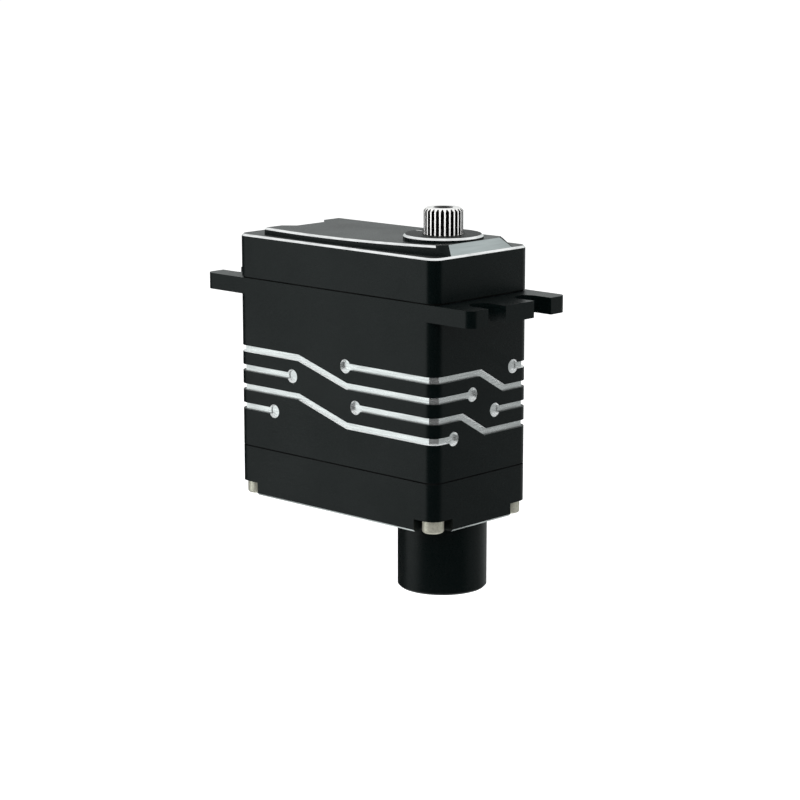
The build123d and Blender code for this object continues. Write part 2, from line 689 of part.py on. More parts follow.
def rear_boss_seal():
    """The rubber ring in the rear boss's top face, pressed on the cover."""
    outer = BOSS_SEAL_INNER + BOSS_SEAL_WIDTH
    return ring(outer, BOSS_SEAL_INNER, BOTTOM_Z - BOSS_SEAL_DEPTH, BOTTOM_Z)


def spigot_nut():
    """The hexagon nut that holds the rear boss to the cover's floor."""
    nut = RegularPolygon(SPIGOT_NUT_FLATS / 2, 6, major_radius=False)
    nut -= Circle(SPIGOT_RADIUS + THREAD_CLEARANCE)
    return slab(nut, FLOOR_TOP_Z, NUT_TOP_Z)


def cable_seal():
    """The rubber plug with the cable's hole, in the lower end of the rear boss."""
    low = REAR_BOSS_Z + CABLE_SEAL_RECESS
    return ring(CABLE_SEAL_RADIUS, CABLE_HOLE_RADIUS, low, low + CABLE_SEAL_LENGTH)


def gasket(low, high):
    """A flat rubber cord between two case parts."""
    return slab(gasket_outline(), low, high)


def case_screw(place):
    """A long cap screw, put in from below."""
    head_bottom = SCREW_SEAT_Z - SCREW_HEAD_HEIGHT
    head = rod(SCREW_HEAD_RADIUS, head_bottom, SCREW_SEAT_Z, place)
    head = fillet(head.edges().sort_by(Axis.Z)[0], SCREW_HEAD_ROUND)
    socket = RegularPolygon(SCREW_SOCKET_FLATS / 2, 6, major_radius=False)
    head -= slab(Pos(*place) * socket, head_bottom, head_bottom + SCREW_SOCKET_DEPTH)
    return head + rod(SCREW_SHANK_RADIUS, SCREW_SEAT_Z, SCREW_TOP_Z, place)


# Output shaft and what turns with it
def spline():
    """The toothed end that the horn goes on, with its tooth ends chamfered."""
    step = math.tau / SPLINE_TEETH
    points = []
    for tooth in range(SPLINE_TEETH):
        middle = tooth * step
        half_tip = step * SPLINE_TIP_SHARE / 2
        half_gap = step * SPLINE_ROOT_SHARE / 2
        points.append(polar(SPLINE_TIP_RADIUS, middle - half_tip))
        points.append(polar(SPLINE_TIP_RADIUS, middle + half_tip))
        points.append(polar(SPLINE_ROOT_RADIUS, middle + step / 2 - half_gap))
        points.append(polar(SPLINE_ROOT_RADIUS, middle + step / 2 + half_gap))
    teeth = slab(make_face(Polyline(*points, close=True)), 0, SPLINE_LENGTH)
    wide = SPLINE_TIP_RADIUS + SPLINE_CHAMFER
    cone = turned(
        [
            (0, 0),
            (wide, 0),
            (wide, SPLINE_LENGTH - 2 * SPLINE_CHAMFER),
            (SPLINE_TIP_RADIUS - SPLINE_CHAMFER, SPLINE_LENGTH),
            (0, SPLINE_LENGTH),
        ]
    )
    return teeth & cone


def output_shaft():
    """The stepped shaft from the spline down to the sensor magnet."""
    gear_bottom = LAYER_TOPS[0] - FACE_WIDTH
    shaft = rod(SHAFT_TOP_RADIUS, gear_bottom, 0) + spline()
    shaft += rod(SHAFT_LOW_RADIUS, SHAFT_END_Z, gear_bottom)
    shaft += rod(SHAFT_COLLAR_RADIUS, DECK_TOP_Z, gear_bottom - LAYER_GAP)
    groove = SHAFT_LOW_RADIUS - CLIP_GROOVE
    shaft -= ring(SHAFT_TOP_RADIUS, groove, CLIP_TOP_Z - CLIP_THICKNESS, CLIP_TOP_Z)
    shaft -= rod(HORN_SCREW_RADIUS, SPLINE_LENGTH - HORN_SCREW_DEPTH, SPLINE_LENGTH)
    mouth = HORN_SCREW_RADIUS + HORN_SCREW_MOUTH
    mouth_cone = [
        (0, SPLINE_LENGTH),
        (mouth, SPLINE_LENGTH),
        (HORN_SCREW_RADIUS, SPLINE_LENGTH - HORN_SCREW_MOUTH),
        (0, SPLINE_LENGTH - HORN_SCREW_MOUTH),
    ]
    return shaft - turned(mouth_cone)


def output_gear():
    """The last gear of the train, pressed on the shaft."""
    gear = gear_on_layer(OUTPUT_TEETH, COARSE, -PINION_SHIFT, 0.0, OUTPUT_PLACE, 0)
    return gear - rod(SHAFT_TOP_RADIUS, ROOF_Z - FACE_WIDTH - LAYER_GAP, ROOF_Z)


def shaft_clip():
    """The open spring clip under the lower bearing."""
    low = CLIP_TOP_Z - CLIP_THICKNESS
    clip = ring(CLIP_RADIUS, SHAFT_LOW_RADIUS - CLIP_GROOVE, low, CLIP_TOP_Z)
    opening = (CLIP_RADIUS, SHAFT_LOW_RADIUS, CLIP_THICKNESS)
    return clip - brick(opening, low, (CLIP_RADIUS, 0))


def race_pair(outer, inner, low):
    """The outer race with its shield, and the inner race, of one bearing."""
    middle = inner + INNER_RACE_WALL
    outer_race = ring(outer, middle + RACE_CLEARANCE, low, low + BEARING_HEIGHT)
    return outer_race, ring(middle, inner, low, low + BEARING_HEIGHT)


def small_screws(places, seat, head_radius, head_height, shank_radius, length):
    """Small screws with plain round heads above their seat."""
    screws = []
    for place in places:
        head = rod(head_radius, seat, seat + head_height, place)
        screws.append(head + rod(shank_radius, seat - length, seat, place))
    return screws


# Motor
def motor_screw_places():
    """The two screws through the deck into the motor's face."""
    x, y = MOTOR_PLACE
    return [(x, y + hand * MOTOR_SCREW_SPACING / 2) for hand in (-1, 1)]


def motor_screws():
    """The two screws that hold the motor under the deck."""
    seat = DECK_TOP_Z - MOTOR_SCREW_HEAD_HEIGHT - END_CLEARANCE
    head = (MOTOR_SCREW_HEAD_RADIUS, MOTOR_SCREW_HEAD_HEIGHT)
    return small_screws(motor_screw_places(), seat, *head, MOTOR_SCREW_RADIUS, MOTOR_SCREW_LENGTH)


def motor_can():
    """The closed motor body, with the nose that centres it in the deck."""
    can = rod(MOTOR_RADIUS, MOTOR_END_Z + MOTOR_CAP_HEIGHT, DECK_BOTTOM_Z, MOTOR_PLACE)
    can = chamfer(can.edges().sort_by(Axis.Z)[-1], MOTOR_SHOULDER)
    can += rod(MOTOR_NOSE_RADIUS, DECK_BOTTOM_Z, DECK_BOTTOM_Z + MOTOR_NOSE_HEIGHT, MOTOR_PLACE)
    bore_bottom = DECK_BOTTOM_Z - MOTOR_SHAFT_BURIED - END_CLEARANCE
    bore = MOTOR_SHAFT_RADIUS + RUNNING_CLEARANCE
    can -= rod(bore, bore_bottom, DECK_TOP_Z, MOTOR_PLACE)
    screw_end = DECK_TOP_Z - MOTOR_SCREW_HEAD_HEIGHT - END_CLEARANCE - MOTOR_SCREW_LENGTH
    for place in motor_screw_places():
        hole = MOTOR_SCREW_RADIUS + THREAD_CLEARANCE
        can -= rod(hole, screw_end - END_CLEARANCE, DECK_BOTTOM_Z, place)
    return can


def motor_cap():
    """The plastic end cap that closes the motor and carries its terminals."""
    radius = MOTOR_RADIUS - MOTOR_CAP_INSET
    return rod(radius, MOTOR_END_Z, MOTOR_END_Z + MOTOR_CAP_HEIGHT, MOTOR_PLACE)


def motor_terminals():
    """The two tabs under the motor's end cap."""
    x, y = MOTOR_PLACE
    low = MOTOR_END_Z - TERMINAL_SIZE[2]
    return [brick(TERMINAL_SIZE, low, (x, y + hand * TERMINAL_SPACING / 2)) for hand in (-1, 1)]


def motor_shaft():
    """The motor's shaft, which carries the first pinion."""
    top = LAYER_TOPS[3] + LAYER_GAP / 2
    return rod(MOTOR_SHAFT_RADIUS, DECK_BOTTOM_Z - MOTOR_SHAFT_BURIED, top, MOTOR_PLACE)


def motor_pinion():
    """The small gear on the motor's shaft."""
    mate = (FIRST_WHEEL_TEETH, FIRST_PLACE, 0.0)
    phase = meshing_phase(MOTOR_PINION_TEETH, MOTOR_PLACE, *mate)
    pinion = gear_on_layer(MOTOR_PINION_TEETH, FINE, PINION_SHIFT, phase, MOTOR_PLACE, 3)
    return pinion - rod(MOTOR_SHAFT_RADIUS, DECK_TOP_Z, LAYER_TOPS[3], MOTOR_PLACE)


# Electronics
def post_places():
    """The four posts that carry the circuit board."""
    inner_left = CASE_LEFT_X + WALL
    inner_length = CASE_LENGTH - 2 * WALL
    y = INNER_HALF_WIDTH - POST_FROM_SIDE
    return [(inner_left + share * inner_length, hand * y) for share in POST_X_SHARES for hand in (-1, 1)]


def circuit_board():
    """The board across the bottom cover, above the spigot's nut."""
    board = slab(cavity_outline(-BOARD_TO_WALL), BOARD_BOTTOM_Z, BOARD_TOP_Z)
    for place in post_places():
        board -= rod(BOARD_SCREW_RADIUS + SCREW_CLEARANCE, BOARD_BOTTOM_Z, BOARD_TOP_Z, place)
    return board


def board_screws():
    """The four screws that hold the board on its posts."""
    head = (BOARD_SCREW_HEAD_RADIUS, BOARD_SCREW_HEAD_HEIGHT)
    return small_screws(post_places(), BOARD_TOP_Z, *head, BOARD_SCREW_RADIUS, BOARD_SCREW_LENGTH)


def board_components():
    """The controller, the two motor drivers and a row of small parts."""
    parts = [brick(CHIP_SIZE, BOARD_TOP_Z, (CASE_MIDDLE_X, 0))]
    driver_x = CASE_MIDDLE_X - CHIP_SIZE[0] / 2 - DRIVER_SIZE[0]
    for hand in (-1, 1):
        parts.append(brick(DRIVER_SIZE, BOARD_TOP_Z, (driver_x, hand * DRIVER_SPACING / 2)))
    row_x = CASE_MIDDLE_X + CHIP_SIZE[0] / 2 + RESISTOR_SIZE[1]
    for n in range(RESISTOR_COUNT):
        y = (n - (RESISTOR_COUNT - 1) / 2) * RESISTOR_PITCH
        parts.append(brick(RESISTOR_SIZE, BOARD_TOP_Z, (row_x, y)))
    return parts


def board_capacitor():
    """The tall capacitor that steadies the motor's supply."""
    can = rod(CAPACITOR_RADIUS, BOARD_TOP_Z, BOARD_TOP_Z + CAPACITOR_HEIGHT)
    return chamfer(can.edges().sort_by(Axis.Z)[-1], MOTOR_SHOULDER / 2)


def sensor_board():
    """The round board that closes the lower bearing's seat."""
    radius = LOWER_BEARING_RADIUS + SEAT_WALL
    return rod(radius, SENSOR_BOARD_TOP_Z - SENSOR_BOARD_THICKNESS, SENSOR_BOARD_TOP_Z)


def sensor_chip():
    """The chip that reads the magnet's angle."""
    size = (SENSOR_CHIP_SIDE, SENSOR_CHIP_SIDE, SENSOR_CHIP_HEIGHT)
    return brick(size, SENSOR_BOARD_TOP_Z)


def all_parts():
    """Every node by its name."""
    upper_outer, upper_inner = race_pair(UPPER_BEARING_RADIUS, SHAFT_TOP_RADIUS, ROOF_Z)
    lower_outer, lower_inner = race_pair(LOWER_BEARING_RADIUS, SHAFT_LOW_RADIUS, LOWER_BEARING_Z)
    seal_low = SEAL_SEAT_Z
    axle_low, axle_high = DECK_TOP_Z - AXLE_SEAT_DEPTH, ROOF_Z + AXLE_SEAT_DEPTH
    return {
        "top_case": top_case(),
        "middle_case": middle_case(),
        "bottom_cover": bottom_cover(),
        "case_screws": [case_screw(place) for place in SCREW_PLACES],
        "top_gasket": gasket(UPPER_PARTING_Z - GASKET_DEPTH, UPPER_PARTING_Z),
        "bottom_gasket": gasket(LOWER_PARTING_Z, LOWER_PARTING_Z + GASKET_DEPTH),
        "rear_boss": rear_boss(),
        "rear_boss_nut": spigot_nut(),
        "rear_boss_seal": rear_boss_seal(),
        "cable_seal": cable_seal(),
        "output_shaft": output_shaft(),
        "output_gear": output_gear(),
        "shaft_clip": shaft_clip(),
        "shaft_seal": ring(
            SHAFT_SEAL_RADIUS, SHAFT_TOP_RADIUS + SEAL_CLEARANCE, seal_low, seal_low + SHAFT_SEAL_HEIGHT
        ),
        "upper_bearing_outer": upper_outer,
        "upper_bearing_inner": upper_inner,
        "lower_bearing_outer": lower_outer,
        "lower_bearing_inner": lower_inner,
        "sensor_magnet": rod(MAGNET_RADIUS, MAGNET_Z, SHAFT_END_Z),
        "sensor_chip": sensor_chip(),
        "sensor_board": sensor_board(),
        "third_gear": third_gear(),
        "second_gear": second_gear(),
        "first_gear": first_gear(),
        "gear_axles": [rod(AXLE_RADIUS, axle_low, axle_high, place) for place in AXLE_PLACES],
        "motor_can": motor_can(),
        "motor_cap": motor_cap(),
        "motor_terminals": motor_terminals(),
        "motor_screws": motor_screws(),
        "motor_shaft": motor_shaft(),
        "motor_pinion": motor_pinion(),
        "circuit_board": circuit_board(),
        "board_components": board_components(),
        "board_capacitor": board_capacitor(),
        "board_screws": board_screws(),
    }


os.makedirs("parts", exist_ok=True)
for node, shape in all_parts().items():
    solids = shape if isinstance(shape, list) else [shape]
    export_step(Compound(children=[s for part in solids for s in part.solids()]), f"parts/{node}.step")
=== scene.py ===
"""Looks of a waterproof servo: black anodised case with bare cut edges and tracks, on a pale studio floor."""

import math

import bmesh
import bpy
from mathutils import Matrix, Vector


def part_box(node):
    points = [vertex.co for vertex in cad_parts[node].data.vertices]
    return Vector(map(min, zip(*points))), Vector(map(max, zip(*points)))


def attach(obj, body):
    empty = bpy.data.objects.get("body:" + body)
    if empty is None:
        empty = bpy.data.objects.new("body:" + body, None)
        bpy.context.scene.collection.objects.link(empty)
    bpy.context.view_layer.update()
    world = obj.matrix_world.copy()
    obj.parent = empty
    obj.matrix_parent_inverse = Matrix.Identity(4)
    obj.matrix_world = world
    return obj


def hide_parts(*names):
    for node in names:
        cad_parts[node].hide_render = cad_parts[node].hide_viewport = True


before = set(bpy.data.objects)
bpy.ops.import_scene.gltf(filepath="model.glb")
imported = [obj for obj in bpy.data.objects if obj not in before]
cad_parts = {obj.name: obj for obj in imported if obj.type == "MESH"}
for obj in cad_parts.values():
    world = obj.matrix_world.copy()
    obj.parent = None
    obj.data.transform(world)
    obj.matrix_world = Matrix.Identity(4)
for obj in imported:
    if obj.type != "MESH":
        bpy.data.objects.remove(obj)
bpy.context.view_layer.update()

bl_info = {
    "name": "Waterproof servo",
    "version": (1, 0, 0),
    "blender": (4, 5, 0),
    "location": "3D View > Sidebar > Servo",
    "description": "Dresses a waterproof servo in anodised, bare and ground metal finishes",
    "category": "Object",
}

MM = 0.001
WELD_DISTANCE = 0.001 * MM
FLAT_ANGLE = math.radians(0.01)

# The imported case, and how deep a face of its skin and of its joint grooves may lie
CASE_LOW, CASE_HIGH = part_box("bottom_cover")
MIDDLE_LOW, MIDDLE_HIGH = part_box("middle_case")
CASE_MIDDLE_X = (CASE_LOW.x + CASE_HIGH.x) / 2
CORNER_RADIUS = 1.9 * MM
SKIN_DEPTH = 0.06 * MM
JOINT_REACH = 0.3 * MM

# The engraved tracks
TRACK_ZONE_TOP = -17 * MM
TRACK_ZONE_BOTTOM = -31.5 * MM
TRACK_ZONE_DEPTH = 1.2 * MM
WALL_HEIGHT = 0.1 * MM

# The raised deck, its ramp and the index mark on the boss
LEDGE_LEVEL = -1.98 * MM
DECK_EDGE_LEVEL = -0.32 * MM
RAMP_FROM = 6.1 * MM
MARK_DEPTH = 0.15 * MM
MARK_SIZE = (1.3 * MM, 0.3 * MM)
MARK_MIDDLE_X = -4.85 * MM
MARK_LEVELS = (-0.25 * MM, -0.02 * MM)
MARK_REACH = 6.0 * MM

# The spline
TOOTH_TIP_RADIUS = 2.9 * MM
TOOTH_FOOT_LEVEL = 0.2 * MM
HOLE_MOUTH_RADIUS = 1.6 * MM

# The shaft's lip seal and the cable seal
SEAL_BORE = 3.05 * MM
SEAL_RIM = 0.28 * MM
SEAL_EDGE = 0.06 * MM
SEAL_SLOPE = 0.08 * MM
LIP_FOOT = 0.3 * MM
LIP_HEAD = 0.16 * MM
LIP_SLOPE = 0.1 * MM
LIP_GAP = 0.02 * MM
CABLE_HOLE = 2.1 * MM
PLUG_COLLAR = 0.7 * MM
PLUG_RIM = 0.4 * MM
GROOVE_SLOPE = 0.1 * MM

# Shares of a face's normal along an axis, by which sloped, upright and level faces are told apart
SLOPED = (0.4, 0.93)
UPRIGHT_LIMIT = 0.3
STRAIGHT_LIMIT = 0.1
HALFWAY = 0.5
LEVEL_LIMIT = 0.99

# How the lines in each metal are stretched: small along a line, large across it, equal for specks
EDGE_LINES = (0.05, 0.05, 0.6)
RAMP_LINES = (0.9, 0.03, 0.9)
SIDE_LINES = (0.03, 0.03, 0.9)
UPRIGHT_LINES = (1.0, 1.0, 0.05)
TOP_LINES = (0.9, 0.9, 0.1)
GEAR_LINES = (1.0, 1.0, 0.08)
RING_LINES = (0.1, 0.1, 1.0)
SPECKLED = (0.6, 0.6, 0.6)
PLATED = (0.5, 0.5, 0.5)

# How far the patterns change a finish: roughness, and depths in metres
TURNED_DULLNESS = 0.17
PATCH_GLOSS = 0.02
PATCH_DULLNESS = 0.03
SPECK_GLOSS = 0.1
LINE_DULLNESS = 0.14
GRAIN_DULLNESS = 0.1
GRAIN_DEPTH = 0.003 * MM
COPPER_DEPTH = 0.02 * MM

# The floor: its size, the light of its own that it shows to the camera, and the share left in its patches
FLOOR_RADIUS = 6.0
FLOOR_LIFT = 0.62
FLOOR_PATCHES = 0.995

# Lamps: name, place, aim, size and power
LAMPS = [
    ("Overhead softbox", (0.1, 0.2, 0.62), (0, 0, -0.02), (0.6, 0.6), 2.2),
    ("Left softbox", (-0.3, -0.55, 0.2), (0, 0, -0.02), (0.5, 0.5), 3.0),
    ("Right softbox", (0.55, -0.1, 0.15), (0, 0, -0.02), (0.4, 0.4), 1.0),
    ("Front softbox", (0.38, -0.42, 0.2), (0, 0, -0.02), (0.4, 0.4), 1.6),
]

# Cards: name, two plan azimuths in degrees, two (radius, level) points of the profile, and their glow
CARD_RADIUS = 0.27
CARD_FOOT = -0.139
CARD_STEPS = 16
CARD_TINT = (0.94, 1.0, 0.99, 1.0)
DISC_MIDDLE = (0.002, CARD_FOOT)
DISC_EDGE = (0.12, CARD_FOOT)
FOOT = (CARD_RADIUS, CARD_FOOT)
SHOULDER = (CARD_RADIUS, -0.012)
HEAD = (CARD_RADIUS, 0.1)
CARDS = [
    ("Grey disc on the floor", (0, 360), DISC_MIDDLE, DISC_EDGE, 0.7),
    ("Dark ring on the floor", (0, 360), DISC_EDGE, FOOT, 0.03),
    ("Dark card at the back left", (132, 210), FOOT, SHOULDER, 0.03),
    ("White card for the long side", (210, 252), FOOT, HEAD, 1.0),
    ("Dark card by the camera", (-108, 18), FOOT, (CARD_RADIUS, 0.16), 0.008),
    ("Grey card for the short side", (18, 72), FOOT, (CARD_RADIUS, 0.15), 0.34),
    ("Pale card at the back right", (72, 132), FOOT, SHOULDER, 0.5),
    ("Pale card behind", (95, 170), SHOULDER, HEAD, 0.65),
    ("Dark card at the left", (170, 210), SHOULDER, HEAD, 0.02),
]


# Node helpers
def link(tree, source, target):
    """Joins one output to one input."""
    tree.links.new(source, target)


def add_node(tree, kind, inputs, **settings):
    """A node with its settings and its unlinked or linked inputs."""
    node = tree.nodes.new(kind)
    for name, value in settings.items():
        setattr(node, name, value)
    for name, value in inputs.items():
        if isinstance(value, bpy.types.NodeSocket):
            link(tree, value, node.inputs[name])
        else:
            node.inputs[name].default_value = value
    return node


def new_group(name, inputs, outputs):
    """An empty shader node group with its named sockets, and its two end nodes."""
    tree = bpy.data.node_groups.new(name, "ShaderNodeTree")
    for label, kind, value in inputs:
        socket = tree.interface.new_socket(label, in_out="INPUT", socket_type=kind)
        if value is not None:
            socket.default_value = value
    for label, kind in outputs:
        tree.interface.new_socket(label, in_out="OUTPUT", socket_type=kind)
    return tree, tree.nodes.new("NodeGroupInput"), tree.nodes.new("NodeGroupOutput")


def noise(tree, vector, scale, roughness, detail=3.0):
    """The value of a noise texture."""
    node = add_node(
        tree,
        "ShaderNodeTexNoise",
        {"Vector": vector, "Scale": scale, "Detail": detail, "Roughness": roughness},
    )
    return node.outputs["Fac"]


def mapped(tree, value, low, high, to_low=0.0, to_high=1.0):
    """A value moved from one range to another and held inside it."""
    node = add_node(
        tree,
        "ShaderNodeMapRange",
        {"Value": value, "From Min": low, "From Max": high, "To Min": to_low, "To Max": to_high},
    )
    return node.outputs["Result"]


def blasted_grain():
    """Fine pits left by bead blasting: a height, and a mask of the brighter specks."""
    tree, start, end = new_group(
        "Blasted grain",
        [
            ("Vector", "NodeSocketVector", None),
            ("Pits per metre", "NodeSocketFloat", 5200.0),
            ("Evenness", "NodeSocketFloat", 0.5),
        ],
        [("Height", "NodeSocketFloat"), ("Specks", "NodeSocketFloat")],
    )
    grain = noise(tree, start.outputs["Vector"], start.outputs["Pits per metre"], roughness=0.55)
    link(tree, grain, end.inputs["Height"])
    specks = mapped(tree, grain, start.outputs["Evenness"], 0.72)
    link(tree, specks, end.inputs["Specks"])


def cut_lines():
    """Fine lines left by a cutter along one direction: a height, and a mask of the duller lines."""
    tree, start, end = new_group(
        "Cut lines",
        [
            ("Vector", "NodeSocketVector", None),
            ("Stretch", "NodeSocketVector", (0.04, 0.04, 1.0)),
            ("Lines per metre", "NodeSocketFloat", 9000.0),
        ],
        [("Height", "NodeSocketFloat"), ("Dull", "NodeSocketFloat")],
    )
    stretched = add_node(
        tree,
        "ShaderNodeVectorMath",
        {0: start.outputs["Vector"], 1: start.outputs["Stretch"]},
        operation="MULTIPLY",
    )
    fine = noise(tree, stretched.outputs["Vector"], start.outputs["Lines per metre"], roughness=0.6)
    link(tree, fine, end.inputs["Height"])
    link(tree, mapped(tree, fine, 0.42, 0.66), end.inputs["Dull"])


def handling():
    """Slow changes of sheen from handling and coating: one mask."""
    tree, start, end = new_group(
        "Handling",
        [("Vector", "NodeSocketVector", None), ("Patches per metre", "NodeSocketFloat", 110.0)],
        [("Patches", "NodeSocketFloat")],
    )
    patches = noise(tree, start.outputs["Vector"], start.outputs["Patches per metre"], roughness=0.6)
    link(tree, mapped(tree, patches, 0.35, 0.65), end.inputs["Patches"])


def use_group(tree, group, **inputs):
    """Places a group that is already made, with its own values, named with underscores for spaces."""
    node = tree.nodes.new("ShaderNodeGroup")
    node.node_tree = bpy.data.node_groups[group]
    for name, value in inputs.items():
        label = name.replace("_", " ")
        if isinstance(value, bpy.types.NodeSocket):
            link(tree, value, node.inputs[label])
        else:
            node.inputs[label].default_value = value
    return node


def new_material(name, fixed):
    """A new material's node tree, its Principled shader with the constants set, and Object coordinates."""
    material = bpy.data.materials.new(name)
    material.use_nodes = True
    tree = material.node_tree
    shader = tree.nodes["Principled BSDF"]
    for label, value in fixed.items():
        shader.inputs[label].default_value = value
    place = tree.nodes.new("ShaderNodeTexCoord").outputs["Object"]
    return tree, shader, place


def colour_mix(tree, mask, first, second):
    """A colour that runs from the first to the second with a mask."""
    node = tree.nodes.new("ShaderNodeMix")
    node.data_type = "RGBA"
    link(tree, mask, node.inputs[0])
    node.inputs[6].default_value = (*first[:3], 1.0)
    node.inputs[7].default_value = (*second[:3], 1.0)
    return node.outputs[2]


def bump(tree, height, depth):
    """A normal from a height, with its real depth in metres."""
    node = add_node(tree, "ShaderNodeBump", {"Height": height, "Distance": depth, "Strength": 1.0})
    return node.outputs["Normal"]


def finish_shader(tree, shader, colour, roughness, normal):
    """Links the three patterned inputs that every finish here has."""
    link(tree, colour, shader.inputs["Base Color"])
    link(tree, roughness, shader.inputs["Roughness"])
    link(tree, normal, shader.inputs["Normal"])


def brighter(colour, share, lift=0.0):
    """A colour with more light in it, up to white."""
    return tuple(min(1.0, share * c + lift) for c in colour)


def dulled(colour, share=0.82):
    """A colour with a share of its light, as for the duller lines in a cut surface."""
    return tuple(share * c for c in colour)


def anodised_finish(name, colour, sheen, pit_depth, pits):
    """Bead-blasted and dyed aluminium: dark, with fine specks where the pits catch light."""
    tree, shader, place = new_material(name, {"IOR": 1.5, "Specular IOR Level": 0.26})
    grain = use_group(tree, "Blasted grain", Vector=place, Pits_per_metre=pits)
    wear = use_group(tree, "Handling", Vector=place)
    tone = colour_mix(tree, grain.outputs["Specks"], colour, brighter(colour, 1.5))
    slow = mapped(tree, wear.outputs["Patches"], 0.0, 1.0, sheen - PATCH_GLOSS, sheen + PATCH_DULLNESS)
    fine = mapped(tree, grain.outputs["Specks"], 0.0, 1.0, SPECK_GLOSS, -SPECK_GLOSS)
    rough = add_node(tree, "ShaderNodeMath", {0: slow, 1: fine}, operation="ADD").outputs[0]
    finish_shader(tree, shader, tone, rough, bump(tree, grain.outputs["Height"], pit_depth))


def cut_metal_finish(name, colour, dull, stretch, rough, lines=9000.0, depth=0.002 * MM, metallic=1.0):
    """Bare metal with the fine lines of the cutter."""
    tree, shader, place = new_material(name, {"Metallic": metallic})
    cut = use_group(tree, "Cut lines", Vector=place, Stretch=stretch, Lines_per_metre=lines)
    tone = colour_mix(tree, cut.outputs["Dull"], colour, dull)
    roughness = mapped(tree, cut.outputs["Dull"], 0.0, 1.0, rough, rough + LINE_DULLNESS)
    finish_shader(tree, shader, tone, roughness, bump(tree, cut.outputs["Height"], depth))


def moulded_finish(name, colour, rough, fixed):
    """Rubber, moulded plastic or lacquer: one colour with a fine even grain."""
    tree, shader, place = new_material(name, fixed)
    grain = use_group(tree, "Blasted grain", Vector=place, Pits_per_metre=2600.0)
    wear = use_group(tree, "Handling", Vector=place, Patches_per_metre=260.0)
    tone = colour_mix(tree, wear.outputs["Patches"], colour, brighter(colour, 1.35, 0.004))
    roughness = mapped(tree, grain.outputs["Specks"], 0.0, 1.0, rough, rough + GRAIN_DULLNESS)
    finish_shader(tree, shader, tone, roughness, bump(tree, grain.outputs["Height"], GRAIN_DEPTH))


def board_finish(name, mask_colour, copper_colour):
    """A circuit board: green lacquer over copper tracks that run in square steps."""
    tree, shader, place = new_material(name, {"Coat Weight": 0.4, "Coat Roughness": 0.15})
    grid = add_node(
        tree,
        "ShaderNodeTexBrick",
        {"Vector": place, "Scale": 420.0, "Mortar Size": 0.035, "Mortar Smooth": 0.2},
        offset=0.37,
    )
    grain = use_group(tree, "Blasted grain", Vector=place, Pits_per_metre=1800.0)
    tone = colour_mix(tree, grid.outputs["Fac"], mask_colour, copper_colour)
    roughness = mapped(tree, grain.outputs["Specks"], 0.0, 1.0, 0.3, 0.42)
    finish_shader(tree, shader, tone, roughness, bump(tree, grid.outputs["Fac"], COPPER_DEPTH))


# Mesh helpers
def to_object(mesh_data, name, materials, smooth_angle=35.0):
    """A piece made from a bmesh: smooth faces, with edges sharper than the angle kept sharp."""
    limit = math.radians(smooth_angle)
    for edge in mesh_data.edges:
        edge.smooth = len(edge.link_faces) == 2 and edge.calc_face_angle(0.0) < limit
    for face in mesh_data.faces:
        face.smooth = True
    mesh = bpy.data.meshes.new(name)
    mesh_data.to_mesh(mesh)
    mesh_data.free()
    for material in materials:
        mesh.materials.append(material)
    piece = bpy.data.objects.new(name, mesh)
    bpy.context.scene.collection.objects.link(piece)
    return piece


def merged_node(node):
    """A bmesh copy of a CAD node with its loose triangles merged."""
    merged = bmesh.new()
    merged.from_mesh(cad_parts[node].data)
    bmesh.ops.remove_doubles(merged, verts=merged.verts, dist=WELD_DISTANCE)
    flat = [e for e in merged.edges if len(e.link_faces) == 2 and e.calc_face_angle(0.0) < FLAT_ANGLE]
    bmesh.ops.dissolve_edges(merged, edges=flat, use_verts=False, use_face_split=False)
    return merged


def stands_for(piece, node, body):
    """The piece takes a CAD node's place on its body."""
    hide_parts(node)
    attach(piece, body)


def dress(node, material):
    """Gives a CAD node its finish through its material slots."""
    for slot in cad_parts[node].material_slots:
        slot.material = material


def spun(name, profile, materials, steps=96):
    """A closed profile of (radius, level) points turned round the output axis."""
    shape = bmesh.new()
    corners = [shape.verts.new((radius, 0, level)) for radius, level in profile]
    edges = [shape.edges.new((a, b)) for a, b in zip(corners, corners[1:] + corners[:1])]
    bmesh.ops.spin(
        shape,
        geom=corners + edges,
        cent=(0, 0, 0),
        axis=(0, 0, 1),
        dvec=(0, 0, 0),
        angle=math.tau,
        steps=steps,
        use_merge=True,
        use_duplicate=False,
    )
    bmesh.ops.remove_doubles(shape, verts=shape.verts, dist=WELD_DISTANCE)
    bmesh.ops.recalc_face_normals(shape, faces=shape.faces)
    return to_object(shape, name, materials)


# Where the anodising was cut through
def case_depth(point):
    """How far a point is inside the case's rounded outline."""
    inside_x = (CASE_HIGH.x - CASE_LOW.x) / 2 - abs(point.x - CASE_MIDDLE_X)
    inside_y = (CASE_HIGH.y - CASE_LOW.y) / 2 - abs(point.y)
    if inside_x < CORNER_RADIUS and inside_y < CORNER_RADIUS:
        return CORNER_RADIUS - math.hypot(CORNER_RADIUS - inside_x, CORNER_RADIUS - inside_y)
    return min(inside_x, inside_y)


def mark_faces(shape, tests):
    """Gives each face the first finish whose test it passes, and the plain one otherwise."""
    for face in shape.faces:
        for index, test in enumerate(tests, 1):
            if test(face):
                face.material_index = index
                break


def is_ramp_facet(face):
    """True for the two facets beside the ramp at the output end, which get painted shade."""
    normal, middle = face.normal, face.calc_center_median()
    on_deck = LEDGE_LEVEL < middle.z < DECK_EDGE_LEVEL
    return on_deck and normal.x > SLOPED[0] and abs(normal.y) > UPRIGHT_LIMIT


def is_ramp(face):
    """True for the bare ramp at the output end."""
    normal, middle = face.normal, face.calc_center_median()
    sloped = normal.x > HALFWAY and normal.z > HALFWAY and abs(normal.y) < STRAIGHT_LIMIT
    return sloped and middle.x > RAMP_FROM and middle.z > LEDGE_LEVEL


